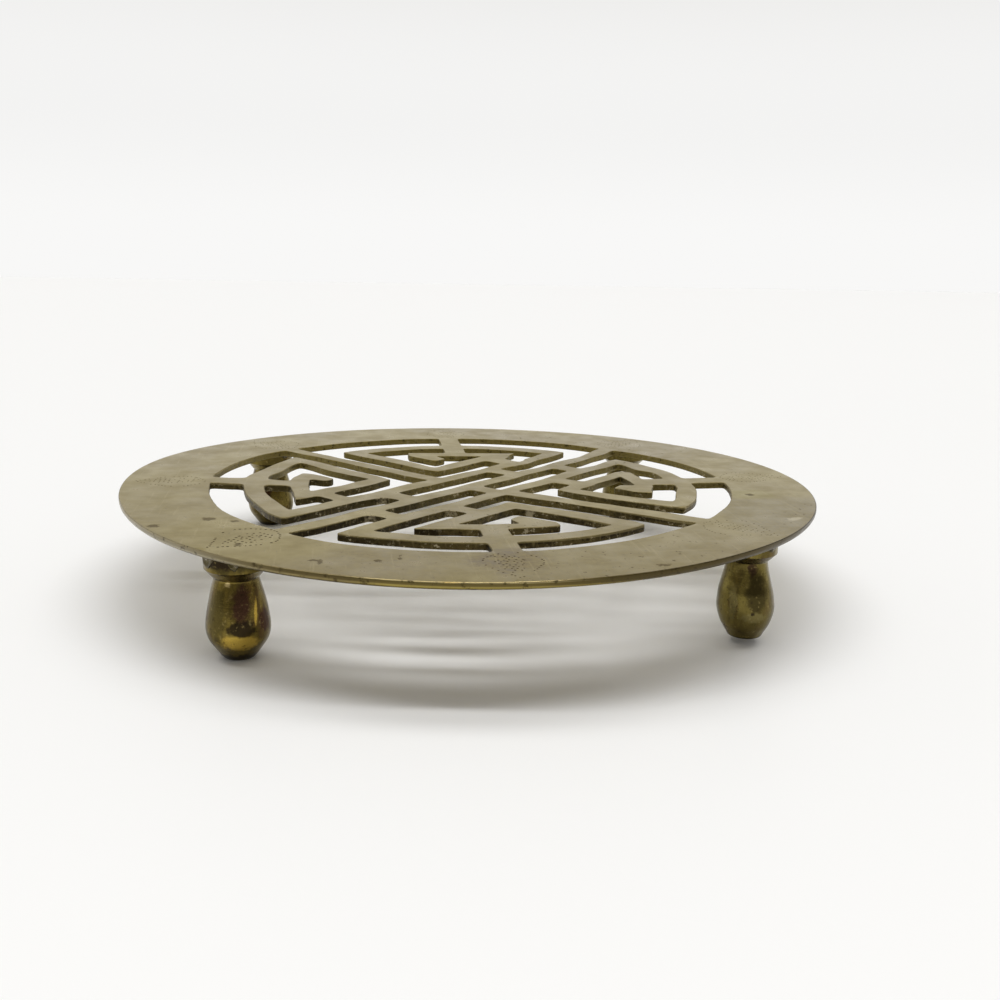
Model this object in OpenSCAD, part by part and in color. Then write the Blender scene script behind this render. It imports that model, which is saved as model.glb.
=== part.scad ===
// Round pierced brass trivet: a flat sawn plate on four turned feet.
// The plate is a plain rim around an openwork fret. The fret is laid out on a square
// grid that is turned 45 degrees to the X and Y axes. Each foot ends in a round flange
// that is soft soldered to the underside of the rim.
// Origin: on the surface that the feet stand on, under the middle of the plate. +Z is up,
// and the front is -Y.

/* [Plate] */
// Diameter of the round plate
plate_d = 147.5; // [136:0.5:170]
// Thickness of the sheet
plate_t = 1.4; // [1:0.1:2.4]
// Width of the plain rim around the fret
rim_w = 17.5; // [16:0.25:20]
// Small chamfer that breaks the outer edge of the rim, above and below
edge_break = 0.25; // [0.1:0.05:0.4]

/* [Fret] */
// Spacing of the grid that the fret is laid out on
fret_pitch = 8.85; // [8.2:0.05:9.4]
// Width of the straight bars
bar_w = 4; // [3:0.1:4.6]
// Width of the short links that tie one bar to the next
link_w = 4.4; // [3:0.1:5.5]
// Width of the four spokes that run out to the rim
spoke_w = 5.2; // [3.5:0.1:6.5]
// Width of the four curved bars
arc_w = 4.2; // [3:0.1:5]
// Gap between the rim and the curved bars
arc_gap = 7.9; // [6:0.1:9]
// Gap between a curved bar and the cross bar inside it
tee_gap = 6.2; // [4.5:0.1:7]
// Distance from the middle line of a spoke to the free end of its cross bar
tee_reach = 12; // [10.5:0.1:13]
// Length of the hook at the free end of each cross bar
hook_l = 9.4; // [7:0.1:11]
// Width of the hook at its tip
hook_tip_w = 3.6; // [2.5:0.1:4.5]
// Width of the hook where it leaves the cross bar
hook_root_w = 6; // [4:0.1:7]
// How far the links sit to the left of their even places along the grid
link_shift = 1.3; // [0:0.1:2]
// How far the whole fret sits forward of the middle of the plate
fret_shift = 2; // [0:0.1:3]

/* [Feet] */
// Length of a turned foot, with its flange
foot_l = 19.3; // [15:0.1:26]
// Distance from the edge of the plate to the axis of a foot
foot_inset = 7.7; // [7.5:0.1:9]
// Diameter of the flange under the plate
flange_d = 12; // [9.5:0.1:12.8]
// Thickness of the flange at its edge
flange_t = 2.9; // [1:0.1:4]
// Height of the cone between the flange and the neck
collar_l = 1.7; // [1:0.1:3]
// Diameter of the neck, the thinnest place
neck_d = 7.8; // [5:0.1:9]
// Diameter of the belly, the thickest place
belly_d = 11.4; // [9.5:0.1:14]
// Height of the belly above the ground
belly_h = 5.6; // [4:0.1:7.5]
// Diameter of the small flat that the foot stands on
pad_d = 5; // [3:0.1:8]

/* [Solder] */
// Thickness of the solder between the flange and the plate
solder_t = 0.5; // [0.2:0.05:1]
// How far the solder spreads past the flange
solder_spread = 0.5; // [0.1:0.05:0.8]

/* [Hidden] */
$fn = 96;

// Places along the grid where the links stand, in pitches from the middle line
near_link_share = 2;
rear_link_share = 3.1;
far_link_share = 3.5;
// Roundness of the underside of the belly: 1 is an ellipse, more is straighter
belly_share = 1.25;
// Steps in each curved stretch of a foot's outline
foot_steps = 10;
// Part of the spread that the solder has half way up
solder_cove_share = 0.3;

plate_r = plate_d / 2;
open_r = plate_r - rim_w;
arc_out_r = open_r - arc_gap;
arc_in_r = arc_out_r - arc_w;
// Distance from the middle of the fret to the outer side of a cross bar
tee_out = arc_in_r - tee_gap;
// Every bar that meets the rim ends in the middle of the rim's width
bar_end = open_r + rim_w / 2;
// The hook stands on the second grid line, and this is where the cross bar reaches it
hook_line = near_link_share * fret_pitch;
hook_root = (tee_out - bar_w / 2) * sqrt(2) - hook_line;

solder_z = foot_l;
plate_z = foot_l + solder_t;
foot_r = plate_r - foot_inset;
neck_h = foot_l - flange_t - collar_l;

// A straight bar between two points of the grid, with square ends
module bar(from, to, width) {
    run = to - from;
    translate(from)
        rotate(atan2(run[1], run[0]))
            translate([0, -width / 2])
                square([norm(run), width]);
}

// The region beyond a corner on the diagonal of a quarter, used to trim bars to a mitre
module corner_region(corner) {
    translate([corner, corner])
        square(bar_end);
}

// The region on the near side of the cross bar's outer face, as far as its square free end
module inside_tee() {
    rotate(45)
        translate([-bar_end, -bar_end])
            square([bar_end + tee_out, bar_end + tee_reach]);
}

// Frame of one quarter: its curved bar and the two straight sides that meet it
module quarter_frame() {
    intersection() {
        circle(r = arc_out_r);
        union() {
            bar([0, fret_pitch], [arc_out_r, fret_pitch], bar_w);
            translate([fret_pitch - bar_w / 2, 2 * fret_pitch - bar_w / 2])
                square([bar_w, arc_out_r]);
            intersection() {
                difference() {
                    circle(r = arc_out_r);
                    circle(r = arc_in_r);
                }
                corner_region(fret_pitch - bar_w / 2);
            }
        }
    }
}

// Inner figure of one quarter: the inner side, the cross bar and the hook at its end
module quarter_figure() {
    intersection() {
        inside_tee();
        corner_region(2 * fret_pitch - bar_w / 2);
        union() {
            bar([fret_pitch, 2 * fret_pitch], [bar_end, 2 * fret_pitch], bar_w);
            rotate(45)
                translate([tee_out - bar_w, -bar_end])
                    square([bar_w, 2 * bar_end]);
            hook();
        }
    }
    bar([fret_pitch - bar_w / 2, 2 * fret_pitch], [hook_line, 2 * fret_pitch], bar_w);
}

// The hook: a short bar that tapers to its tip, with a straight outer side
module hook() {
    translate([hook_line - bar_w / 2, hook_root])
        polygon([
            [0, -hook_l],
            [hook_tip_w, -hook_l],
            [hook_root_w, 0],
            [hook_root_w, bar_end],
            [0, bar_end],
        ]);
}

// The spoke of one quarter, from its cross bar out to the rim
module quarter_spoke() {
    rotate(45)
        bar([tee_out - bar_w, 0], [bar_end + fret_shift, 0], spoke_w);
}

module quarter() {
    quarter_frame();
    quarter_figure();
    quarter_spoke();
}

// A short link across one row of the grid, and its mirror image
module link_pair(place, row) {
    for (side = [-1, 1])
        bar([side * place, row * fret_pitch], [side * place, (row + 1) * fret_pitch], link_w);
}

// The whole openwork: four quarters, the bars between them, and the links
module fret_outline() {
    rotate(45) {
        for (u = [0, 1], v = [0, 1])
            mirror([u, 0]) mirror([0, v]) quarter();
        bar([-bar_end, 0], [bar_end, 0], bar_w);
        for (side = [-1, 1])
            bar([0, side * fret_pitch], [0, side * bar_end], bar_w);
        translate([-link_shift, 0]) {
            bar([0, -fret_pitch], [0, 0], link_w);
            link_pair(hook_line, 0);
            link_pair(hook_line, -2);
            link_pair(far_link_share * fret_pitch, -1);
            link_pair(rear_link_share * fret_pitch, 1);
        }
    }
}

// Flat rim with a small chamfer on both outer edges
module rim() {
    rotate_extrude()
        polygon([
            [open_r, 0],
            [plate_r - edge_break, 0],
            [plate_r, edge_break],
            [plate_r, plate_t - edge_break],
            [plate_r - edge_break, plate_t],
            [open_r, plate_t],
        ]);
}

module plate() {
    color([0.66, 0.62, 0.49])
        translate([0, 0, plate_z]) {
            rim();
            intersection() {
                translate([0, -fret_shift])
                    linear_extrude(plate_t)
                        fret_outline();
                cylinder(h = plate_t, r = bar_end);
            }
        }
}

// Outline of a foot: pad, rounded belly, tapering stem, neck, cone and flange
function belly_point(i) = let (a = 90 * i / foot_steps) [
    pad_d / 2 + (belly_d - pad_d) / 2 * pow(sin(a), belly_share),
    belly_h * (1 - pow(cos(a), belly_share)),
];
function stem_point(i) = let (t = i / foot_steps) [
    neck_d / 2 + (belly_d - neck_d) / 2 * cos(90 * t),
    belly_h + (neck_h - belly_h) * t,
];

module foot() {
    color([0.55, 0.46, 0.18])
        rotate_extrude()
            polygon(concat(
                [[0, 0]],
                [for (i = [0:foot_steps]) belly_point(i)],
                [for (i = [1:foot_steps]) stem_point(i)],
                [
                    [flange_d / 2, foot_l - flange_t],
                    [flange_d / 2, foot_l],
                    [0, foot_l],
                ]
            ));
}

// Solder joint: a thin disc that flares out where it wets the plate
module solder() {
    color([0.45, 0.44, 0.40])
        translate([0, 0, solder_z])
            rotate_extrude()
                polygon([
                    [0, 0],
                    [flange_d / 2, 0],
                    [flange_d / 2 + solder_cove_share * solder_spread, solder_t / 2],
                    [flange_d / 2 + solder_spread, solder_t],
                    [0, solder_t],
                ]);
}

// Puts a piece at one of the four corners, half way between the spokes
module at_corner(angle) {
    rotate(angle)
        translate([foot_r, 0])
            children();
}

module foot_front_left() at_corner(225) foot();
module foot_front_right() at_corner(315) foot();
module foot_rear_left() at_corner(135) foot();
module foot_rear_right() at_corner(45) foot();
module solder_front_left() at_corner(225) solder();
module solder_front_right() at_corner(315) solder();
module solder_rear_left() at_corner(135) solder();
module solder_rear_right() at_corner(45) solder();

plate();
foot_front_left();
foot_front_right();
foot_rear_left();
foot_rear_right();
solder_front_left();
solder_front_right();
solder_rear_left();
solder_rear_right();
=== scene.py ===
import math

import bpy
import numpy as np
from mathutils import Matrix, Vector, noise
from mathutils.geometry import delaunay_2d_cdt


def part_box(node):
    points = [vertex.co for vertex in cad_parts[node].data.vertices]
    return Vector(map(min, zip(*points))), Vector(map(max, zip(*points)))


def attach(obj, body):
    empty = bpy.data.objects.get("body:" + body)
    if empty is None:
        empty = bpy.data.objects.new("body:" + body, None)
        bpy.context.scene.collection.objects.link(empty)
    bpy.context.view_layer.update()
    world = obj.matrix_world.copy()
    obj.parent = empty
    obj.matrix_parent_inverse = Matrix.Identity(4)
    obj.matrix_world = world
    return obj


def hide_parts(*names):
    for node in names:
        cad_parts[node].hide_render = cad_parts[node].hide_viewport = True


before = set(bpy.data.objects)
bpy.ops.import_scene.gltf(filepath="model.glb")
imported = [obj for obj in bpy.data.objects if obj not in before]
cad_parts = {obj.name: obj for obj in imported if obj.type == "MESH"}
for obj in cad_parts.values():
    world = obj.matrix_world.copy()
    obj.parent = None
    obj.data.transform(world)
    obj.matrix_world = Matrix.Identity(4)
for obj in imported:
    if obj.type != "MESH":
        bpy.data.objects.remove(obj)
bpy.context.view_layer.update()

# Plate, first part: its outline. The real plate is one round sheet of brass, 1.4 mm thick, with
# the fret sawn out by hand inside a plain flat rim. The outline of every opening is read from
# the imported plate, moved to where the saw really went, and wanders a little, as a saw cut does.
MM = 0.001
plate_low, plate_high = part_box("plate")
top_z, under_z, plate_r = plate_high.z, plate_low.z, plate_high.x
sheet_t = top_z - under_z
# Step between the points of an outline, and how many times its corners are softened
outline_step, corner_softness = 0.4 * MM, 5
# The cross bar on the left is filed rounder than the others: its place, reach and extra softness
round_bar, round_bar_reach, round_bar_softness = Vector((-37.5, 1.0)) * MM, 15.5 * MM, 8
# How far the saw wanders in slow and in fast waves, and how long those waves are
wander_slow, wander_fast = 0.07 * MM, 0.03 * MM
wander_slow_size, wander_fast_size = 9 * MM, 1.6 * MM
# Outward bulge of the rim at the rear left: where it is and how wide, in degrees, and its height
bulge_turn, bulge_spread, bulge = 155, 20, 1.0 * MM
rim_points = 1100

# Where the fret stands off its even layout, read off one by one: a place on the edge of an opening,
# and how far the saw went from there to the right and to the rear, all in millimetres
STRAYS = [
    # Left quarter
    (-56.2, 0.6, 0.3, 4.0), (-48.3, 0.6, -0.9, 3.8), (-56.1, -4.5, 0, 3.5), (-48.3, -4.5, -0.9, 2.8),
    (-55.2, 11, 0, 0), (-44.2, 0.6, 0, 2.2), (-44.2, -4.5, -0.5, 2.2), (-38.2, 0.6, -1.5, 1.0),
    (-38.2, -4.5, -1.3, 2.0), (-38.2, 10, 1.2, 0), (-34.3, 10, -1.2, -0.8), (-28.1, 3.8, -2.3, 0.4),
    (-30.6, 1.2, -1.0, 0.6), (-34.2, 3.3, -1.5, 0.5), (-34.2, -3, -1.6, -0.3), (-34.2, -8, -1.2, -1.0),
    (-28, -1.9, 0, -0.8), (-21.8, 4.3, -0.5, 0), (-16.1, 4.3, -1.5, -0.6), (-23, -2.6, 0, -0.4),
    (-29.9, -9.6, -0.2, -0.5), (-26.4, -13.1, -0.4, -0.6), (-38.2, -17.6, 0.9, 2.9), (-38.2, -11, 0, 0.2),
    (-33, -12.8, -0.2, 0.4), (-29.6, -16.2, -0.2, -0.4), (-34, -20.6, 0, -0.8), (-38.2, -24.6, -0.3, -0.4),
    (-43.6, -10, -0.6, 0), (-41, -27, -1.0, -0.4), (-38.7, -31, -0.6, -0.7), (-38.7, 27, -0.7, 1.5),
    (-34, 22.3, 0, 1.0), (-38, 20.7, 0, 1.2), (-30, -22.3, 0, -0.7), (-19.9, -12.2, 0, -2.2),
    (-16.5, -15.6, 0, -1.0), (-20, -19.1, 0, -1.9), (-30, -29.1, 0, -1.9), (-34, -33.1, 0, -1.3),
    (-40.2, -39.3, 0, -0.2), (-23, -27.8, 0, -1.5), (-19.6, -31.2, 0, -0.8), (-37.3, -42.1, -0.8, -0.3),
    (-24, -35.6, 0, -1.2), (-50, -26, -0.5, -0.6), (-42.4, -14.3, -0.2, 0), (-41.2, -18, -0.3, 0),
    (-40, -20.7, -0.3, 0),
    # Front quarter
    (-29, -40.7, -0.6, -2.7), (-26, -42.5, 0, -2.5), (-22, -44.9, 0, -1.6), (-18, -46.7, 0, -0.9),
    (-33, -45.5, 0, -1.3), (-28, -48.8, 0, -1.3), (-20, -52.6, 0, -1.0), (-10, -55.3, 0, -0.8),
    (-2.6, -56.2, 0, -0.7), (2.6, -56.2, 0, -0.7), (20, -52.6, 0, -0.2), (-22.6, -40, -0.2, -1.5),
    (-15, -44, 0, -1.4), (-10, -45.4, 0, -1.0), (-2.6, -46.1, -0.5, -0.8), (2.6, -46.1, -0.3, -0.4),
    (10, -45.3, 0, -0.5), (15, -43.8, 0.2, -0.6), (22.7, -40, -0.4, -0.7), (-15.8, -40, 0.4, 0.1),
    (-9, -40, 0, -0.6), (-2.6, -40, -0.6, -1.7), (2.6, -40, -0.4, -1.3), (7, -40, 0, -0.7),
    (12, -40, 0.9, 0.5), (12, -36.1, 0.6, -1.5), (5.7, -29.8, 0.4, -1.2), (3.1, -32.3, 0.9, -2.0),
    (5.2, -35.9, -0.2, -1.8), (-1, -35.9, 0, -2.0), (-6.1, -35.9, -1.0, -1.5), (6.2, -23.6, -0.1, -1.6),
    (0, -29.8, 0, -0.7), (15, -32.4, 0, -0.4), (-7.4, -24.6, 0.2, -1.0), (-4, -28, 0, -0.5),
    (-14, -31.2, 0, -1.0), (-10, -34, 0, -0.3),
    # Middle
    (5.2, 13, 0.2, -1.1), (8.5, 9.6, 0.4, -1.1), (-13.4, -12.5, 0.2, -0.4), (-16.8, -9, 0.4, -0.4),
    (-5, -4, 0, -1.6), (-5, 2.8, 0, -0.9), (20.8, 16, 0.5, -1.0), (24.2, 12.7, -0.4, -0.8),
    (5.5, -6, 0.1, -1.4), (2, -2.7, 0.2, -0.6), (15, 3.5, 0, -2.2), (14, 9.3, 0, -0.8),
    (-1, -5.8, 0.3, -1.2), (2.4, -9.2, 0, -0.9), (-16.5, -28, -0.4, -1.0), (-20, -24.7, -0.2, -0.6),
    (-6, -17.6, 0, -1.7), (-10, -14.7, 0, -0.8), (17.7, 0.3, 0.6, -1.2), (21, -3, 0.3, -0.8),
    (15.9, -8.2, 2.0, 0), (9.2, -8.2, 0, -0.4), (6.2, -11.2, -0.2, -1.3), (6.2, -18, -0.5, -0.8),
    (15, -26.8, 0, -0.7), (-4.2, -21.5, 0, -0.6), (-0.8, -25, 0, -0.5),
    # Right quarter
    (38, 0.6, 1.1, 0.1), (38, 7, 0.7, -0.4), (38, 13.6, -1.2, -3.8), (31, 6.7, 0.3, -2.0),
    (24.2, 0, 1.5, -0.3), (20.8, 3.5, 1.0, -0.4), (29, 11.7, 0, -1.3), (38, 20.6, 0, -2.2),
    (44.1, 0.6, -0.2, 0), (38, -4.5, 2.0, -1.6), (44.1, -4.5, 0.6, -1.6), (48.3, -4.5, 0.5, -0.3),
    (38, -13.9, -0.2, 0), (34.1, -13.9, -0.6, 2.6), (27.9, -7.7, 3.0, -0.8), (30.3, -5.2, 2.6, 0.2),
    (33.9, -7.3, 1.9, 2.7), (33.9, 4.1, 1.2, 0.4), (33.9, -1.5, 1.9, 0), (21.6, -8.2, 1.1, 0),
    (27.5, -2.3, 0, -0.4), (27, -13.7, 0.8, 0.8), (30, -16.6, 1.1, 1.2), (34, -20.6, 1.6, 1.7),
    (37.9, -24.6, 1.7, 2.8), (26, -18.4, 0, 0.3), (30, -22.4, 0.9, 0.9), (34, -26.3, 1.5, 1.6),
    (38.7, -31, 1.5, 3.2), (20, -19.2, 0.5, 0.5), (26, -25.1, 1.0, 1.1), (34, -33.1, 1.6, 1.8),
    (40.2, -39.3, 1.8, 1.7), (18, -22.8, 0.4, 0.5), (22, -26.8, 0.9, 0.9), (32, -36.8, 1.0, 1.0),
    (37.3, -42.1, 1.6, 1.5), (18, -29.7, 0.4, 0.5), (26, -37.7, 0.8, 0.8), (29, -40.7, -0.6, -0.5),
    # Rear quarter
    (-2.6, 56.2, 0, -1.2), (2.6, 56.2, 0, -1.2), (-20, 52.6, 0, -1.3), (20, 52.6, 0, -1.3),
    (-2.6, 46.3, 0, -1.4), (2.6, 46.3, 0, -1.4), (-15, 44, 0, -1.9), (15, 44, 0, -1.9),
    (-25, 39.8, 0, -1.9), (25, 39.8, -0.5, -2.0), (-29, 36.7, 1.0, -1.7), (29, 36.7, -1.2, -2.1),
    (-2.6, 42.1, 0, -1.4), (2.6, 42.1, 0, -1.4), (-15, 39.5, 0, -1.7), (15, 39.5, 0, -2.0),
    (-22.6, 36, 0.5, -1.7), (22.6, 36, -0.6, -2.8), (-12, 36, 0, -0.8), (-2.6, 36, 0, -0.8),
    (2.6, 36, 0, -1.2), (15.7, 36, -1.0, -2.0), (-12, 32, 0, -1.0), (-5.8, 25.9, 0, -1.0),
    (-5.3, 32, 0, -1.0), (5.9, 32, -0.5, -1.2), (-6.3, 19.8, -0.5, -2.8), (-6.3, 14.1, 0, -1.5),
    (-6.3, 7.2, 0.2, -1.6), (8.9, 29.2, 3.4, -2.2), (12.4, 25.7, 2.6, -2.8), (18, 31.4, 0.6, -2.8),
    (5.7, 26, 0.4, -1.0), (9.2, 22.6, 0, -1.2), (4, 17.4, 0, -3.0), (8.3, 16.2, 0.3, -0.8),
    (11.7, 12.8, 0.3, -1.0), (18, 19.1, 0, -3.0), (30, 31, 0, -3.4), (39.3, 40.2, -1.5, -1.5),
    (20, 27.6, 0, -1.8), (24, 19.1, 0.6, -0.8), (27.4, 15.7, 0.5, -1.9), (32, 20.3, 0, -3.2),
    (38.7, 27, 0, -3.0), (34, 29.1, 0, -1.2), (-34, 34.9, 0, -1.7), (-28, 28.9, 0, -2.0),
    (-20, 20.9, 0, -1.5),
]
# How softly the strays blend into each other, and how far from them the layout is even again
stray_softness, stray_reach = 3.4 * MM, 8.0 * MM


def opening_loops(mesh, z):
    """Edges of the flat faces at height z, as closed loops with the metal on their left."""
    mesh.calc_loop_triangles()
    loose = set()
    for tri in mesh.loop_triangles:
        corners = [mesh.vertices[i].co for i in tri.vertices]
        if all(abs(c.z - z) < 1e-6 for c in corners):
            keys = [(round(c.x, 6), round(c.y, 6)) for c in corners]
            for a, b in zip(keys, keys[1:] + keys[:1]):
                if (b, a) in loose:
                    loose.remove((b, a))
                else:
                    loose.add((a, b))
    follow = dict(sorted(loose))
    loops = []
    while follow:
        start = min(follow)
        loop, here = [start], follow.pop(start)
        while here != start:
            loop.append(here)
            here = follow.pop(here)
        loops.append(np.array(loop))
    return loops


def evenly(loop, step, start=0.0):
    """The same closed loop with its points at even steps, the first one at a share of a step."""
    closed = np.vstack([loop, loop[:1]])
    run = np.concatenate([[0], np.cumsum(np.linalg.norm(np.diff(closed, axis=0), axis=1))])
    count = round(run[-1] / step)
    at = (np.arange(count) + start) * run[-1] / count
    return np.stack([np.interp(at, run, closed[:, k]) for k in (0, 1)], axis=1)


def strayed(loop):
    """Moves a loop of the even layout to where the saw really went, by the strays near it."""
    places, moves = np.array(STRAYS)[:, :2] * MM, np.array(STRAYS)[:, 2:] * MM
    away = np.linalg.norm(loop[:, None] - places[None], axis=2)
    pull = 1 / (away ** 2 + stray_softness ** 2) ** 2
    hold = 1 / (stray_reach ** 2 + stray_softness ** 2) ** 2
    return loop + pull @ moves / (pull.sum(axis=1) + hold)[:, None]


def filed(loop):
    """Rounds the corners of a loop a little, and more near the bar that is filed rounder.

    The extra rounding fades out over the last quarter of that bar's reach."""
    away = np.linalg.norm(loop - np.array(round_bar), axis=1) / round_bar_reach
    extra = np.clip(4 * (1 - away), 0, 1)[:, None]
    for stroke in range(corner_softness + round_bar_softness):
        share = extra if stroke >= corner_softness else 1
        between = 0.5 * (np.roll(loop, 1, axis=0) + np.roll(loop, -1, axis=0))
        loop = loop + 0.5 * share * (between - loop)
    return loop


def into_metal(loop):
    """Unit directions that point from each point of a loop into the sheet."""
    along = np.roll(loop, -1, axis=0) - np.roll(loop, 1, axis=0)
    left = np.stack([-along[:, 1], along[:, 0]], axis=1)
    return left / np.linalg.norm(left, axis=1)[:, None]


def tip_room(loop):
    """How far each point of a loop can move into the metal before a sharp tip folds over."""
    least_turn = 0.02
    behind, ahead = loop - np.roll(loop, 1, axis=0), np.roll(loop, -1, axis=0) - loop
    turn = np.arctan2(behind[:, 0] * ahead[:, 1] - behind[:, 1] * ahead[:, 0],
                      (behind * ahead).sum(axis=1))
    room = 0.5 * np.linalg.norm(ahead, axis=1) / np.maximum(turn, least_turn)
    return np.min([np.roll(room, k) for k in (-2, -1, 0, 1, 2)], axis=0)


def ripple(points, size, shift=0.0):
    """Smooth noise between about -1 and 1 at points of the plate, with bumps of that size."""
    return np.array([noise.noise(Vector((x / size, y / size, shift))) for x, y in points])


loops = opening_loops(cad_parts["plate"].data, top_z)
loops.sort(key=lambda loop: -np.abs(loop).max())
openings = []
for loop in loops[1:]:
    cut = filed(strayed(evenly(loop, outline_step)))
    drift = (wander_slow * ripple(cut, wander_slow_size)
             + wander_fast * ripple(cut, wander_fast_size, 3.0))
    openings.append(cut + into_metal(cut) * drift[:, None])
turn = np.arange(rim_points) * 2 * math.pi / rim_points
from_bulge = (np.degrees(turn) - bulge_turn) / bulge_spread
rim_reach = plate_r + bulge * np.exp(-from_bulge ** 2)
rim_edge = np.stack([rim_reach * np.cos(turn), rim_reach * np.sin(turn)], axis=1)

# Plate, second part: the punched ornament. Eight leaf shapes are punched into the rim, one at
# each spoke and one over each foot, with the point of the leaf outwards. Each is an outline of
# small dots, with a patch of dots inside. Some are deep and dark, and some nearly polished away.
leaf_l, leaf_tip_r = 15.0 * MM, plate_r - 1.7 * MM
spoke_leaf_half_w, foot_leaf_half_w = 5.1 * MM, 5.9 * MM
# Above 1, the first moves the widest place of a leaf inwards. Under 1, the second fills its sides
leaf_droop, leaf_fullness = 1.45, 0.8
dot_r, dot_depth, dot_step, dot_shake = 0.24 * MM, 0.17 * MM, 0.95 * MM, 0.3 * MM
dot_sides = 8
# The least room between a dot and a sawn edge, and between two dots
dot_to_edge, dot_to_dot = 0.75 * MM, 0.62 * MM
# Below this noise a dot is quite worn away. Above it, the noise times the swing changes its size
worn_away, wear_swing = -0.26, 0.6
# Patch of dots in a leaf: its rows, and in millimetres where the first one is and the step between
# them, then its columns, the step between those, the shift of every other row and of all of them
patch_rows, patch_start, patch_row_step = 11, 3.4, 0.98
patch_columns, patch_dot_step, patch_stagger, patch_aside = range(-2, 3), 1.05, 0.5, 0.9
# The patch reaches from this line half as far sideways as the leaf does
patch_middle = -0.6 * MM
# How deep the dots of each leaf still are, counted round the rim from the +X spoke
leaf_depths = [0.42, 0.36, 0.42, 0.42, 0.5, 0.9, 0.66, 0.42]


def leaf_half_width(u, half_w):
    """Half width of the leaf at share u of its length, measured from its outer point."""
    return half_w * max(0.0, math.sin(math.pi * u ** leaf_droop)) ** leaf_fullness


def leaf_dots(half_w):
    """Places of the dots of one leaf: distance inwards from its point, and sideways."""
    side = [(u * leaf_l, leaf_half_width(u, half_w)) for u in np.linspace(0, 1, 200)]
    whole = np.array(side + [(a, -b) for a, b in side[-2:0:-1]])
    dots = list(evenly(whole, dot_step, 0.3))
    for row in range(patch_rows):
        inward = (patch_start + patch_row_step * row) * MM
        for column in patch_columns:
            sideways = (patch_dot_step * column + patch_stagger * (row % 2) - patch_aside) * MM
            if abs(sideways - patch_middle) < 0.5 * leaf_half_width(inward / leaf_l, half_w):
                dots.append((inward, sideways))
    return dots


# Middle, radius and depth of each dot that lies clear of the sawn edges and of the other dots
punched_dots = []
edge_points = np.vstack(openings)
for number, depth in enumerate(leaf_depths):
    angle = number * math.pi / 4
    outward = Vector((math.cos(angle), math.sin(angle)))
    across = Vector((-math.sin(angle), math.cos(angle)))
    mirror = -1 if number % 2 else 1
    half_w = foot_leaf_half_w if number % 2 else spoke_leaf_half_w
    for k, (inward, sideways) in enumerate(leaf_dots(half_w)):
        shake = Vector((noise.noise(Vector((number * 7.1, k * 1.7, 0.5))),
                        noise.noise(Vector((number * 7.1, k * 1.7, 9.5))))) * dot_shake
        middle = outward * (leaf_tip_r - inward) + across * sideways * mirror + shake
        clear = np.linalg.norm(edge_points - np.array(middle), axis=1).min()
        others = [(middle - other).length for other, _, _ in punched_dots]
        wear = noise.noise(Vector((k * 2.3, number, 4.5)))
        if clear > dot_to_edge and min(others, default=1.0) > dot_to_dot and wear > worn_away:
            size = depth * (1 + wear_swing * wear)
            punched_dots.append((middle, dot_r * (0.45 + 0.55 * size), dot_depth * size))

# Plate, third part: the mesh. Each edge is a small rounded profile from the top face over the
# sawn wall to the underside. The flat faces are filled with triangles between those edges and
# round the punched dots, which are real pits in the top face.

# Profiles, in millimetres: how far in from the outline, and how deep under the top face
sawn_profile = [(0.15, 0), (0.07, 0.025), (0.02, 0.08), (0, 0.17), (0, 0.42), (0, 0.7), (0, 0.98),
                (0, 1.2), (0.03, 1.32), (0.12, 1.4)]
rim_profile = [(0.2, 0), (0.09, 0.025), (0.03, 0.08), (0, 0.18), (0, 0.42), (0, 0.66),
               (0.05, 0.84), (0.2, 1.1), (0.38, 1.32), (0.52, 1.4)]
# Roughness and lean of the sawn walls, each with the length of its waves
wall_rough, wall_rough_size, wall_lean, wall_lean_size = 0.035 * MM, 0.8 * MM, 0.1 * MM, 11 * MM
# Rings of a punched dot: share of its radius, and share of its depth
pit_rings = [(1, 0), (0.55, 0.75)]
# Spare points that keep the triangles of the rim even: rings, angles, and room up to an edge
spare_rings, spare_angles = np.arange(60.5, 71.5, 2.6) * MM, np.arange(0, 360, 2.5)
spare_room = 1.2 * MM
# Depth and reach of the sag in the middle of the fret, height and turn of the bend across the
# plate, and the slope at which it stands, because the front feet are a little longer than the rear
sag_depth, sag_r, bend_height, bend_turn = 0.55 * MM, 57.0 * MM, 0.42 * MM, math.radians(17.5)
slope, slope_turn = math.radians(0.5), math.radians(8.2)
# Bends of the rim: where each is and how wide, in degrees, and how far the edge stands up there
BENDS = [(176, 20, 0.11 * MM), (215, 22, -0.33 * MM), (250, 25, -0.22 * MM), (305, 14, 0.16 * MM)]


def settle(x, y):
    """How far the sheet stands above or below true at a place, from use and from soldering."""
    reach = math.hypot(x, y)
    sag = -sag_depth * max(0.0, 1 - (reach / sag_r) ** 2) ** 1.5
    angle = math.atan2(y, x)
    bend = bend_height * math.cos(2 * angle + bend_turn)
    for place, spread, rise in BENDS:
        bend += rise * math.exp(-((math.degrees(angle) % 360 - place) / spread) ** 2)
    rearwards = x * math.sin(slope_turn) + y * math.cos(slope_turn)
    return sag + bend * (reach / plate_r) ** 2 - slope * rearwards


class Sheet:
    """Corner points and faces of the plate, with the finish of each face."""
    points, faces, finishes = [], [], []


# Finishes of the plate's faces, in the order of its materials
FACE, SAWN, EDGE, PUNCHED = range(4)


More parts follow.
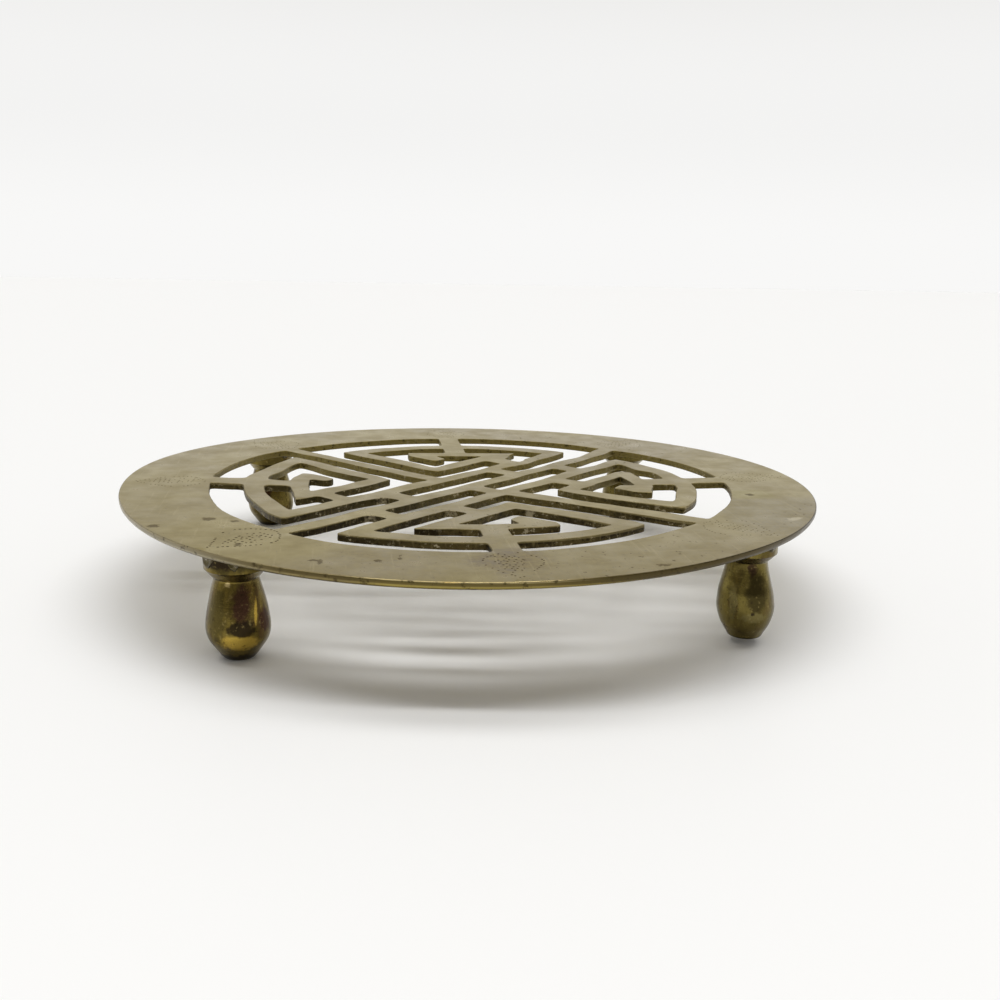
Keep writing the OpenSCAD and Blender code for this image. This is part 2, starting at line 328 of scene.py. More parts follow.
def add_edge(loop, profile, finish, seed=0.0):
    """Adds one closed edge from its profile. Returns the numbers of its top and bottom rings."""
    inwards, room = into_metal(loop), tip_room(loop)
    rows = []
    for row, (inset, depth) in enumerate(profile):
        share = depth * MM / sheet_t
        push = np.full(len(loop), inset * MM)
        if finish == SAWN:
            push = push + wall_lean * share * ripple(loop, wall_lean_size, seed)
            if 0 < share < 1:
                push = push + wall_rough * ripple(loop, wall_rough_size, row * 1.3)
        ring = loop + inwards * np.minimum(push, room)[:, None]
        first = len(Sheet.points)
        Sheet.points += [(x, y, top_z - share * sheet_t) for x, y in ring]
        rows.append(range(first, first + len(loop)))
    for upper, lower in zip(rows, rows[1:]):
        for i in range(len(loop)):
            j = (i + 1) % len(loop)
            Sheet.faces.append((upper[i], lower[i], lower[j], upper[j]))
            Sheet.finishes.append(finish)
    return rows[0], rows[-1]


def inside(points, rings):
    """Which points lie in the metal: inside an odd number of the rings."""
    odd = np.zeros(len(points), bool)
    px, py = points[:, 0], points[:, 1]
    for ring in rings:
        for (ax, ay), (bx, by) in zip(ring, np.roll(ring, -1, axis=0)):
            if ay != by:
                crosses = (ay > py) != (by > py)
                odd ^= crosses & (px < (bx - ax) * (py - ay) / (by - ay) + ax)
    return odd


def fill(rings, upward):
    """Fills the flat face between rings of points that are in the sheet already."""
    places = [np.array([Sheet.points[i][:2] for i in ring]) for ring in rings]
    numbers = [i for ring in rings for i in ring]
    spare = np.array([(reach * math.cos(math.radians(angle)), reach * math.sin(math.radians(angle)))
                      for reach in spare_rings for angle in spare_angles])
    held = np.vstack(places)
    near = np.array([np.abs(held - p).sum(axis=1).min() for p in spare])
    spare = spare[(near > spare_room) & inside(spare, places)]
    z = Sheet.points[numbers[0]][2]
    first = len(Sheet.points)
    Sheet.points += [(x, y, z) for x, y in spare]
    numbers += range(first, first + len(spare))
    flat = [Vector(p) / MM for p in np.vstack([held, spare])]
    edges, start = [], 0
    for ring in rings:
        n = len(ring)
        edges += [(start + i, start + (i + 1) % n) for i in range(n)]
        start += n
    spots, _, triangles, origins, _, _ = delaunay_2d_cdt(flat, edges, [], 0, 1e-6, True)
    middles = np.array([sum((spots[i] for i in t), Vector((0, 0))) / 3 for t in triangles]) * MM
    for t, kept in zip(triangles, inside(middles, places)):
        if kept:
            corners = [numbers[origins[i][0]] for i in t]
            Sheet.faces.append(tuple(corners if upward else corners[::-1]))
            Sheet.finishes.append(FACE)


def add_pit(middle, radius, depth):
    """Adds one punched dot, a small round pit. Returns the numbers of the ring round it."""
    rings = []
    for share, drop in pit_rings:
        first = len(Sheet.points)
        for i in range(dot_sides):
            a = 2 * math.pi * i / dot_sides
            Sheet.points.append((middle.x + share * radius * math.cos(a),
                                 middle.y + share * radius * math.sin(a), top_z - drop * depth))
        rings.append(range(first, first + dot_sides))
    outer, inner = rings
    bottom = len(Sheet.points)
    Sheet.points.append((middle.x, middle.y, top_z - depth))
    for i in range(dot_sides):
        j = (i + 1) % dot_sides
        Sheet.faces.append((outer[i], outer[j], inner[j], inner[i]))
        Sheet.faces.append((inner[i], inner[j], bottom))
        Sheet.finishes += [PUNCHED, PUNCHED]
    return outer


edges = [add_edge(loop, sawn_profile, SAWN, number * 2.7) for number, loop in enumerate(openings)]
edges.append(add_edge(rim_edge, rim_profile, EDGE))
pits = [add_pit(*dot) for dot in punched_dots]
fill([top for top, _ in edges] + pits, True)
fill([under for _, under in edges], False)


def piece(name, points, faces, node):
    """A mesh piece that stands for a CAD node and rides with the whole trivet."""
    mesh = bpy.data.meshes.new(name)
    mesh.from_pydata(points, [], faces)
    mesh.validate()
    mesh.update()
    mesh.shade_smooth()
    made = bpy.data.objects.new(name, mesh)
    bpy.context.scene.collection.objects.link(made)
    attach(made, "root")
    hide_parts(node)
    return made


settled = [(x, y, z + settle(x, y)) for x, y, z in Sheet.points]
plate = piece("fret_plate", settled, Sheet.faces, "plate")
plate.data.polygons.foreach_set("material_index", Sheet.finishes)
pit_edges = {key for polygon in plate.data.polygons if Sheet.finishes[polygon.index] == PUNCHED
             for key in polygon.edge_keys}
sharp = plate.data.attributes.new("sharp_edge", "BOOLEAN", "EDGE")
sharp.data.foreach_set("value", [edge.key in pit_edges for edge in plate.data.edges])
weighted = plate.modifiers.new("face_weighted_normals", "WEIGHTED_NORMAL")
weighted.keep_sharp = True
weighted.weight = 60

# Plate, last part: its finishes. The top and underside are satin brass, dulled to a grey olive
# tan with stains, fine scratches and small dark pits. The sawn walls are left rough, and are
# dark with old polish and tarnish, with painted light making the walls towards the rear lighter.
# The filed edge of the rim has painted reflections, dark along its upper half and bright along its
# lower half, and painted highlights at the front and along its top corner.


class Shading:
    """Short calls for the nodes of one shader tree."""

    def __init__(self, tree):
        self.tree = tree

    def feed(self, socket, value):
        if isinstance(value, bpy.types.NodeSocket):
            self.tree.links.new(value, socket)
        else:
            socket.default_value = value

    def add(self, kind, inputs, **settings):
        """A new node with these settings. Its inputs are given by name or by number."""
        node = self.tree.nodes.new(kind)
        for key, value in settings.items():
            setattr(node, key, value)
        for key, value in inputs.items():
            self.feed(node.inputs[key], value)
        return node

    def part(self, vector, axis):
        return self.add("ShaderNodeSeparateXYZ", {0: vector}).outputs[axis]

    def band(self, value, low, high, out_low=0.0, out_high=1.0):
        """Maps value from low..high onto out_low..out_high, smoothly, and holds the ends."""
        inputs = {"Value": value, "From Min": low, "From Max": high, "To Min": out_low, "To Max": out_high}
        return self.add("ShaderNodeMapRange", inputs, interpolation_type="SMOOTHSTEP").outputs["Result"]

    def math(self, operation, a, b):
        return self.add("ShaderNodeMath", {0: a, 1: b}, operation=operation).outputs[0]

    def times(self, a, b):
        return self.math("MULTIPLY", a, b)

    def plus(self, a, b):
        return self.math("ADD", a, b)

    def less(self, a, b):
        return self.math("SUBTRACT", a, b)

    def larger(self, a, b):
        return self.math("MAXIMUM", a, b)

    def tint(self, share, a, b):
        """Colour a where share is 0 and colour b where it is 1."""
        a, b = [colour if isinstance(colour, bpy.types.NodeSocket) else (*colour, 1) for colour in (a, b)]
        return self.add("ShaderNodeMix", {"Factor": share, 6: a, 7: b}, data_type="RGBA").outputs[2]


class Finish(Shading):
    """The material of one metal finish, laid out by the place on the object, in metres."""

    def __init__(self, name, metallic=1.0):
        self.material = bpy.data.materials.new(name)
        self.material.use_nodes = True
        super().__init__(self.material.node_tree)
        self.shader = self.tree.nodes["Principled BSDF"]
        self.feed(self.shader.inputs["Metallic"], metallic)
        self.place = self.add("ShaderNodeTexCoord", {}).outputs["Object"]

    def along(self):
        return self.part(self.place, 0)

    def across(self):
        return self.part(self.place, 1)

    def height(self):
        return self.part(self.place, 2)

    def stretched(self, scale, turn_z=0.0):
        """The place, turned and then multiplied along each axis."""
        inputs = {"Vector": self.place, "Rotation": (0, 0, turn_z), "Scale": scale}
        return self.add("ShaderNodeMapping", inputs).outputs["Vector"]

    def cloud(self, vector, scale=1.0, detail=4.0, rough=0.55):
        inputs = {"Vector": vector, "Scale": scale, "Detail": detail, "Roughness": rough}
        return self.add("ShaderNodeTexNoise", inputs).outputs["Fac"]

    def spot(self, middle, radii, ragged, turn_z=0.0):
        """1 in the middle of an oval of these radii and 0 outside it, with a ragged edge."""
        inputs = {"Vector": self.place, "Location": middle, "Rotation": (0, 0, turn_z), "Scale": radii}
        oval = self.add("ShaderNodeMapping", inputs, vector_type="TEXTURE").outputs["Vector"]
        reach = self.add("ShaderNodeVectorMath", {0: oval}, operation="LENGTH").outputs["Value"]
        fray = self.times(self.less(self.cloud(self.place, 1.3 / min(radii), detail=3), 0.5), ragged * 2)
        return self.band(self.plus(reach, fray), 1.0, 0.55)

    def bump(self, height, strength, distance, under=None):
        """Bumps from a height, over the bumps that lie under them if there are any."""
        inputs = {"Height": height, "Strength": strength, "Distance": distance}
        if under is not None:
            inputs["Normal"] = under
        return self.add("ShaderNodeBump", inputs).outputs["Normal"]

    def done(self, colour, roughness, normal):
        for name, value in (("Base Color", colour), ("Roughness", roughness), ("Normal", normal)):
            self.feed(self.shader.inputs[name], value)
        return self.material


# Stains on the rim: middle, and half width and half depth, in millimetres
STAINS = [
    ((-53.0, -31.7), (1.7, 1.5)), ((-47.9, -33.5), (1.0, 0.9)), ((-62.2, -36.5), (1.3, 1.6)),
    ((-45.9, -49.2), (0.8, 1.1)), ((-32.8, -59.6), (1.3, 0.7)), ((-31.8, -60.6), (0.6, 1.7)),
    ((-22.3, -60.6), (0.9, 1.0)), ((-18.6, -59.7), (0.5, 0.9)), ((24.6, -67.2), (1.6, 0.8)),
    ((57.7, -17.9), (1.1, 1.2)),
]


def satin_brass():
    finish = Finish("satin_plate_brass")
    broad = finish.cloud(finish.stretched((30, 30, 30)), detail=3)
    grey = finish.cloud(finish.stretched((22, 22, 22), 0.6), detail=2)
    mottle = finish.cloud(finish.stretched((150, 150, 150)), detail=5, rough=0.66)
    grain = finish.cloud(finish.stretched((1200, 1200, 1200)), detail=3, rough=0.6)
    pits = finish.cloud(finish.stretched((760, 560, 700), 0.2), detail=3, rough=0.65)
    scratch_a = finish.cloud(finish.stretched((1500, 60, 200), 0.35), detail=3, rough=0.6)
    scratch_b = finish.cloud(finish.stretched((50, 1700, 200), 0.12), detail=3, rough=0.6)
    fine_pits = finish.cloud(finish.stretched((1500, 1000, 1200)), detail=3, rough=0.6)
    pale = finish.plus(finish.band(scratch_a, 0.6, 0.7), finish.band(scratch_b, 0.6, 0.7))
    dark = finish.larger(finish.band(fine_pits, 0.64, 0.72), finish.band(pits, 0.71, 0.76))
    stains = finish.times(finish.band(pits, 0.64, 0.7), finish.band(grey, 0.55, 0.65))
    for (x, y), (half_w, half_d) in STAINS:
        spot = finish.spot((x * MM, y * MM, top_z), (half_w * MM, half_d * MM, 1.0), 0.9)
        stains = finish.larger(stains, spot)
    smudge = finish.spot((0.0, -62 * MM, top_z), (8.5 * MM, 8.5 * MM, 1.0), 0.6)
    olive = finish.spot((57.5 * MM, -17.5 * MM, top_z), (7.0 * MM, 6.0 * MM, 1.0), 0.4)
    dull = finish.spot((58 * MM, -34 * MM, top_z), (17 * MM, 20 * MM, 1.0), 0.5)
    scrape = finish.spot((59 * MM, -39 * MM, top_z), (2.6 * MM, 1.1 * MM, 1.0), 0.6, 0.5)
    colour = finish.tint(finish.band(broad, 0.38, 0.62), (0.34, 0.272, 0.112), (0.385, 0.308, 0.092))
    colour = finish.tint(finish.band(grey, 0.5, 0.66, 0.0, 0.6), colour, (0.33, 0.27, 0.15))
    colour = finish.tint(finish.times(dull, 0.6), colour, (0.255, 0.212, 0.12))
    colour = finish.tint(finish.times(olive, 0.9), colour, (0.32, 0.26, 0.035))
    colour = finish.tint(finish.times(smudge, 0.75), colour, (0.215, 0.175, 0.13))
    colour = finish.tint(finish.band(mottle, 0.36, 0.66, 0.0, 0.5), colour, (0.25, 0.195, 0.072))
    colour = finish.tint(finish.band(grain, 0.3, 0.7, 0.0, 0.3), colour, (0.5, 0.41, 0.17))
    colour = finish.tint(finish.times(pale, 0.2), colour, (0.6, 0.51, 0.27))
    colour = finish.tint(finish.times(dark, 0.4), colour, (0.115, 0.088, 0.045))
    colour = finish.tint(finish.times(scrape, 0.7), colour, (0.62, 0.55, 0.36))
    colour = finish.tint(finish.times(stains, 0.72), colour, (0.085, 0.062, 0.03))
    rough = finish.plus(finish.band(mottle, 0.3, 0.7, 0.27, 0.38), finish.times(stains, 0.2))
    rough = finish.plus(rough, finish.times(smudge, 0.1))
    waves = finish.cloud(finish.stretched((85, 85, 85)), detail=2)
    normal = finish.bump(waves, 0.5, 0.3 * MM)
    worn = finish.less(grain, finish.larger(stains, dark))
    normal = finish.bump(worn, 0.35, 0.03 * MM, normal)
    return finish.done(colour, rough, normal)


# Ends of slots where the saw left a pale, rough wall: middle of each, in millimetres
PALE_ENDS = [(-20.0, -15.0), (-23.0, -30.0), (-7.0, -26.5), (8.5, -27.5)]


def sawn_brass():
    finish = Finish("sawn_wall_brass")
    crust = finish.cloud(finish.stretched((800, 800, 1000)), detail=5, rough=0.75)
    teeth = finish.cloud(finish.stretched((1500, 1500, 260)), detail=3, rough=0.6)
    patches = finish.cloud(finish.stretched((130, 130, 320)), detail=3)
    level = finish.band(finish.height(), under_z, top_z)
    colour = finish.tint(finish.band(patches, 0.4, 0.6), (0.028, 0.02, 0.009), (0.095, 0.072, 0.026))
    # Painted light: the walls towards the rear, which face the front, are painted lighter
    rear = finish.band(finish.across(), -45 * MM, 30 * MM, 0.0, 0.9)
    colour = finish.tint(rear, colour, (0.24, 0.192, 0.062))
    left = finish.times(finish.band(finish.along(), -8 * MM, -28 * MM),
                        finish.band(finish.across(), 14 * MM, 4 * MM))
    colour = finish.tint(finish.times(left, 0.6), colour, (0.035, 0.027, 0.013))
    colour = finish.tint(finish.band(teeth, 0.56, 0.7, 0.0, 0.45), colour, (0.24, 0.195, 0.09))
    crusted = finish.times(finish.band(crust, 0.55, 0.63),
                           finish.band(patches, 0.44, 0.56, 0.25, 0.9))
    crusted = finish.times(crusted, finish.band(finish.across(), 40 * MM, -10 * MM, 0.3, 1.0))
    for x, y in PALE_ENDS:
        end = finish.spot((x * MM, y * MM, under_z), (1.4 * MM, 1.4 * MM, 4 * MM), 0.9)
        end = finish.times(end, finish.band(crust, 0.4, 0.56, 0.1, 0.8))
        crusted = finish.larger(crusted, end)
    colour = finish.tint(crusted, colour, (0.46, 0.4, 0.26))
    colour = finish.tint(finish.band(crust, 0.46, 0.34, 0.0, 0.8), colour, (0.018, 0.013, 0.006))
    colour = finish.tint(finish.band(level, 0.93, 1.0, 0.0, 0.55), colour, (0.34, 0.28, 0.13))
    rough = finish.band(crust, 0.3, 0.7, 0.36, 0.62)
    normal = finish.bump(crust, 0.9, 0.25 * MM)
    normal = finish.bump(teeth, 0.4, 0.1 * MM, normal)
    return finish.done(colour, rough, normal)


def filed_brass():
    finish = Finish("filed_edge_brass")
    streak = finish.cloud(finish.stretched((170, 170, 1500)), detail=4, rough=0.65)
    crust = finish.cloud(finish.stretched((620, 620, 620)), detail=4, rough=0.65)
    level = finish.height()
    # Painted highlight: a gold patch on the front of the edge, which also brightens its top corner there
    front = finish.spot((-6 * MM, -plate_r, top_z), (26 * MM, 20 * MM, 1.0), 0.3)
    edge_highlight = finish.plus(finish.times(front, 0.6), 0.25)
    # Painted reflections: pale grey on the left side of the edge, and dark over its upper half on the
    # right
    side = finish.band(finish.along(), -34 * MM, -58 * MM)
    shade = finish.band(finish.along(), 0.0, 16 * MM)
    colour = finish.tint(finish.band(streak, 0.36, 0.64), (0.17, 0.135, 0.055), (0.3, 0.24, 0.1))
    colour = finish.tint(finish.times(side, 0.75), colour, (0.4, 0.36, 0.26))
    colour = finish.tint(finish.times(front, 0.75), colour, (0.42, 0.33, 0.085))
    # Painted dark reflection along the upper half of the edge, weaker on the left; its very bottom is
    # darker too
    upper = finish.band(level, under_z + 0.5 * MM, under_z + 0.85 * MM)
    under = finish.band(level, under_z + 0.4 * MM, under_z + 0.1 * MM)
    corner = finish.band(level, top_z - 0.22 * MM, top_z - 0.1 * MM)
    depth = finish.less(0.85, finish.times(side, 0.45))
    colour = finish.tint(finish.times(upper, depth), colour, (0.085, 0.064, 0.026))
    colour = finish.tint(finish.times(under, 0.5), colour, (0.085, 0.064, 0.026))
    # Painted highlight along the top corner, faded out on the right
    edge_highlight = finish.times(edge_highlight, finish.less(1.0, shade))
    colour = finish.tint(finish.times(corner, edge_highlight), colour, (0.5, 0.41, 0.2))
    dark_upper = finish.band(level, under_z + 0.45 * MM, under_z + 0.75 * MM, 0.1, 0.6)
    colour = finish.tint(finish.times(shade, dark_upper), colour, (0.06, 0.045, 0.018))
    colour = finish.tint(finish.band(crust, 0.56, 0.66, 0.0, 0.75), colour, (0.05, 0.037, 0.015))
    nick = finish.spot((-11.9 * MM, -plate_r, top_z), (2.6 * MM, 1.5 * MM, 0.35 * MM), 0.4)
    colour = finish.tint(finish.times(nick, 0.8), colour, (0.7, 0.52, 0.18))
    rough = finish.band(streak, 0.3, 0.7, 0.24, 0.42)
    normal = finish.bump(streak, 0.4, 0.06 * MM)
    normal = finish.bump(crust, 0.4, 0.08 * MM, normal)
    return finish.done(colour, rough, normal)


def punched_brass():
    finish = Finish("punched_dot_brass")
    dirt = finish.cloud(finish.stretched((900, 900, 900)), detail=3)
    colour = finish.tint(finish.band(dirt, 0.3, 0.7), (0.06, 0.046, 0.022), (0.15, 0.12, 0.06))
    return finish.done(colour, finish.band(dirt, 0.3, 0.7, 0.5, 0.7), finish.bump(dirt, 0.4, 0.05 * MM))


for material in (satin_brass(), sawn_brass(), filed_brass(), punched_brass()):
    plate.data.materials.append(material)

# Feet: four brass feet, each turned on a lathe by hand, so no two are quite alike. From the
# ground up: a small flat pad, a round belly, a stem that narrows to the neck, and a cone that
# opens to a round flange. The front left one is rounder, the front right one more angular.

# Profiles, in millimetres: radius and height, from the pad up
flange_r = 5.58
foot_round = [
    (2.4, 0.0), (2.8, 0.14), (3.45, 0.9), (4.3, 2.1), (5.0, 3.15), (5.4, 4.0), (5.62, 4.9),
    (5.7, 5.8), (5.64, 6.9), (5.4, 8.6), (5.05, 10.5), (4.62, 12.4), (4.22, 13.9), (4.0, 14.7),
    (3.98, 15.05), (4.14, 15.2), (4.6, 15.75), (5.2, 16.55), (5.48, 16.85), (flange_r, 17.15),
    (flange_r, 19.45), (5.5, 19.66),
]
foot_angular = [
    (2.75, 0.0), (3.15, 0.12), (3.4, 0.5), (3.75, 1.15), (4.45, 2.35), (4.9, 3.45), (5.2, 4.45),
    (5.3, 4.95), (5.37, 5.6), (5.36, 6.4), (5.1, 8.8), (4.8, 10.1), (4.5, 11.3), (4.2, 12.4),
    (3.97, 13.5), (3.85, 14.4), (3.88, 14.75), (4.1, 14.95), (4.55, 15.4), (5.2, 16.05),
    (5.48, 16.3), (flange_r, 16.65), (flange_r, 18.15), (5.5, 18.35),
]
# Facets round a foot, rows on each stretch of its profile, and how uneven the turning is
foot_sides, foot_rows, lathe_wobble, lathe_wobble_size = 112, 5, 0.05, 4 * MM
# Thickness of the solder between a flange and the plate, in millimetres
joint_t = 0.5
# Each foot's profile, and in millimetres how far its pad stands off the ground and leans out of
# true: the sheet is a little bent, so the trivet stands on three feet
FEET = [
    ("front_left", foot_round, 0.0, (0.15, -0.06)), ("front_right", foot_angular, 1.25, (0.7, -0.1)),
    ("rear_left", foot_round, 0.0, (0.0, 0.0)), ("rear_right", foot_angular, 0.0, (0.0, 0.0)),
]


def smoothed(profile, steps):
    """Puts steps points on each stretch of a profile, on a curve that keeps to its points."""
    p = np.array([profile[0], *profile, profile[-1]])
    out = []
    for i in range(1, len(p) - 2):
        for s in np.arange(steps) / steps:
            a, b, c, d = p[i - 1:i + 3]
            out.append(0.5 * (2 * b + (c - a) * s + (2 * a - 5 * b + 4 * c - d) * s ** 2
                              + (3 * b - a - 3 * c + d) * s ** 3))
    return np.array(out + [p[-1]])


def turned(middle, profile):
    """Points and faces of a turned solid that stands at middle, closed at both ends."""
    points, faces = [], []
    for r, h in profile:
        for i in range(foot_sides):
            a = 2 * math.pi * i / foot_sides
            spot = Vector((r * math.cos(a), r * math.sin(a), h)) * MM
            uneven = lathe_wobble * noise.noise((spot + middle * 3) / lathe_wobble_size)
            push = 1 + uneven * MM / max(r * MM, MM)
            points.append((middle.x + spot.x * push, middle.y + spot.y * push, spot.z))
    for row in range(len(profile) - 1):
        for i in range(foot_sides):
            j = (i + 1) % foot_sides
            a, b = row * foot_sides, (row + 1) * foot_sides
            faces.append((a + i, a + j, b + j, b + i))
    low, high = len(points), len(points) + 1
    points += [(middle.x, middle.y, profile[0][1] * MM), (middle.x, middle.y, profile[-1][1] * MM)]
    last = (len(profile) - 1) * foot_sides
    for i in range(foot_sides):
        j = (i + 1) % foot_sides
        faces += [(low, j, i), (high, last + i, last + j)]
    return points, faces


# Marks on each foot: colour, then middle from the foot's axis, and radii, in mm. Most are painted
# light. The gold patch low on the front of the belly is a painted reflection of the floor, and the
# gold and pale streaks are painted highlights. The dark marks are painted shade under the pad, at
# the neck and over the flange under the plate, and a painted dark reflection across the front;
# the purple and olive ones there are patina with that painted dark reflection in them.
purple, painted_dark, olive_brown = (0.07, 0.033, 0.022), (0.022, 0.015, 0.009), (0.085, 0.066, 0.02)
gold, pale_gold, pale = (0.55, 0.38, 0.07), (0.7, 0.56, 0.27), (0.175, 0.145, 0.054)
dark_olive, dark_purple = (0.06, 0.047, 0.016), (0.042, 0.023, 0.014)
FOOT_MARKS = {
    "front_left": [
        (olive_brown, (-3.2, -4.2, 9.0), (2.1, 3.2, 6.0)), (gold, (3.5, -4.2, 9.4), (0.3, 2.5, 3.0)),
        (purple, (1.2, -5.0, 10.8), (1.9, 4.0, 4.6)), (purple, (4.9, -2.5, 7.5), (1.5, 2.5, 2.6)),
        (gold, (0.8, -5.6, 4.2), (4.4, 4.0, 1.9)), (painted_dark, (1.0, -5.6, 6.7), (3.4, 3.8, 1.7)),
        (painted_dark, (0.0, -2.0, 0.0), (5.5, 5.5, 1.9)), (pale_gold, (-1.1, -4.2, 14.4), (0.6, 1.5, 0.5)),
        (dark_olive, (0.0, -2.0, 18.6), (7.0, 7.0, 3.0)), (painted_dark, (-1.5, -3.5, 18.4), (4.5, 4.5, 1.2)),
    ],
    "front_right": [
        (olive_brown, (0.8, -4.8, 11.0), (2.6, 3.2, 4.6)),
        (dark_olive, (0.6, -4.8, 10.8), (2.4, 3.2, 4.4)), (pale, (-3.4, -4.2, 9.2), (0.8, 2.5, 4.6)),
        (pale, (0.2, -5.4, 6.2), (2.8, 2.5, 1.2)), (dark_purple, (-0.2, -4.2, 15.2), (1.3, 2.5, 1.4)),
        (painted_dark, (0.0, -5.6, 7.0), (0.45, 2.5, 0.4)), (painted_dark, (0.0, -1.0, 1.2), (5.0, 5.0, 0.6)),
    ],
    "rear_left": [
        (purple, (-1.0, -5.0, 10.0), (2.0, 4.0, 4.0)), (painted_dark, (0.0, 0.0, 0.0), (5.5, 5.5, 2.0)),
    ],
    "rear_right": [
        (purple, (2.0, -4.5, 9.0), (2.0, 4.0, 5.0)), (painted_dark, (0.0, 0.0, 0.0), (5.5, 5.5, 2.0)),
    ],
}
# How green the patina of each foot is, from brown gold at 0 to dull olive at 1
FOOT_GREEN = {"front_left": 0.4, "front_right": 0.75, "rear_left": 0.6, "rear_right": 0.8}


def patina_and_painted_light(corner, middle):
    finish = Finish("turned_brass_" + corner)
    streaks = finish.cloud(finish.stretched((420, 420, 90)), detail=4, rough=0.6)
    patches = finish.cloud(finish.stretched((230, 230, 150)), detail=4, rough=0.6)
    specks = finish.cloud(finish.stretched((1300, 1300, 1300)), detail=3, rough=0.6)
    rings = finish.cloud(finish.stretched((40, 40, 2600)), detail=2)
    green = FOOT_GREEN[corner]
    colour = finish.tint(green, (0.215, 0.15, 0.03), (0.165, 0.138, 0.042))
    colour = finish.tint(finish.band(streaks, 0.38, 0.62, 0.0, 0.7), colour, (0.08, 0.06, 0.018))
    colour = finish.tint(finish.band(patches, 0.52, 0.66, 0.0, 0.7 - 0.4 * green), colour, purple)
    # The marks, patina and painted light alike, laid over the colour
    for tone, place, radii in FOOT_MARKS[corner]:
        mark = finish.spot(middle + Vector(place) * MM, [r * MM for r in radii], 0.55)
        colour = finish.tint(finish.times(mark, 0.9), colour, tone)
    colour = finish.tint(finish.band(specks, 0.6, 0.7, 0.0, 0.55), colour, (0.03, 0.02, 0.01))
    colour = finish.tint(finish.band(specks, 0.4, 0.3, 0.0, 0.3), colour, (0.42, 0.33, 0.13))
    rough = finish.band(patches, 0.3, 0.7, 0.13 + 0.08 * green, 0.3)
    normal = finish.bump(rings, 0.3, 0.04 * MM)
    normal = finish.bump(streaks, 0.45, 0.2 * MM, normal)
    normal = finish.bump(patches, 0.4, 0.3 * MM, normal)
    return finish.done(colour, rough, normal)


# Middle of each foot on the ground, and height of its flange's top in millimetres
foot_middles, foot_tops = {}, {}
for corner, profile, lift, (lean_x, lean_y) in FEET:
    low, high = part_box("foot_" + corner)
    middle = Vector(((low.x + high.x) / 2, (low.y + high.y) / 2, 0))
    top = (under_z + settle(middle.x, middle.y)) / MM - joint_t
    foot_middles[corner], foot_tops[corner] = middle, top
    stretch = (top - lift) / profile[-1][1]
    outline = [(r, lift + h * stretch) for r, h in smoothed(profile, foot_rows)]
    points, faces = turned(middle, outline)
    points = [(x + lean_x * (MM - z / top), y + lean_y * (MM - z / top), z) for x, y, z in points]
    foot = piece("turned_foot_" + corner, points, faces, "foot_" + corner)
    foot.data.materials.append(patina_and_painted_light(corner, middle))

# Solder: each flange is joined to the underside of the rim with soft solder. It is uneven: it
# bulges out of the joint in lumps, runs part of the way down the flange, and has gone dark grey.
solder_amounts = {"front_left": 1.3, "front_right": 0.4, "rear_left": 0.8, "rear_right": 0.65}
solder_rows = 13
# How far the solder reaches into the plate above it
solder_bite = 0.03 * MM
# How far it stands off the flange where it is thinnest, and how far its last row steps in, in mm
solder_skin, solder_step = 0.05, 0.1


def grey_solder():
    finish = Finish("grey_solder", metallic=0.85)
    lumps = finish.cloud(finish.stretched((640, 640, 640)), detail=5, rough=0.7)
    film = finish.cloud(finish.stretched((260, 260, 260)), detail=3)
    colour = finish.tint(finish.band(lumps, 0.38, 0.6), (0.018, 0.014, 0.008), (0.15, 0.128, 0.08))
    colour = finish.tint(finish.band(film, 0.46, 0.6, 0.0, 0.8), colour, (0.1, 0.08, 0.028))
    # Painted highlights: the tops of the lumps are pale
    colour = finish.tint(finish.band(lumps, 0.6, 0.68, 0.0, 0.85), colour, (0.55, 0.5, 0.4))
    rough = finish.band(lumps, 0.3, 0.7, 0.5, 0.22)
    return finish.done(colour, rough, finish.bump(lumps, 0.9, 0.35 * MM))


def lumpy_joint(middle, foot_top, amount, seed):
    """Points and faces of the solder round one flange, from the plate down, closed at both ends."""
    points, faces = [], []
    for row in range(solder_rows):
        t = row / (solder_rows - 1)
        for i in range(foot_sides):
            a = 2 * math.pi * i / foot_sides
            way = Vector((math.cos(a), math.sin(a), 0))
            lump = noise.noise(Vector((2.2 * way.x + seed, 2.2 * way.y, 1.5)))
            fine = noise.noise(Vector((7 * way.x, 7 * way.y + seed, t * 3.5)))
            swell = (0.2 + 0.8 * amount * max(0.0, 0.3 + lump)) * (1 - t) ** 1.1
            run = (0.35 + 2.6 * amount * max(0.0, lump + 0.2)) * t
            step_in = solder_step if row == solder_rows - 1 else 0.0
            r = (flange_r + swell + 0.3 * amount * fine + solder_skin - step_in) * MM
            x, y = middle.x + r * way.x, middle.y + r * way.y
            ceiling = under_z + settle(x, y) + solder_bite
            floor_z = (foot_top - run) * MM
            points.append((x, y, ceiling + (floor_z - ceiling) * t))
    for row in range(solder_rows - 1):
        for i in range(foot_sides):
            j = (i + 1) % foot_sides
            a, b = row * foot_sides, (row + 1) * foot_sides
            faces.append((a + i, b + i, b + j, a + j))
    last = range((solder_rows - 1) * foot_sides, solder_rows * foot_sides)
    return points, faces + [tuple(range(foot_sides)), tuple(reversed(last))]


solder_finish = grey_solder()
for number, (corner, amount) in enumerate(solder_amounts.items()):
    points, faces = lumpy_joint(foot_middles[corner], foot_tops[corner], amount, number * 5)
    joint = piece("solder_joint_" + corner, points, faces, "solder_" + corner)
    joint.data.materials.append(solder_finish)

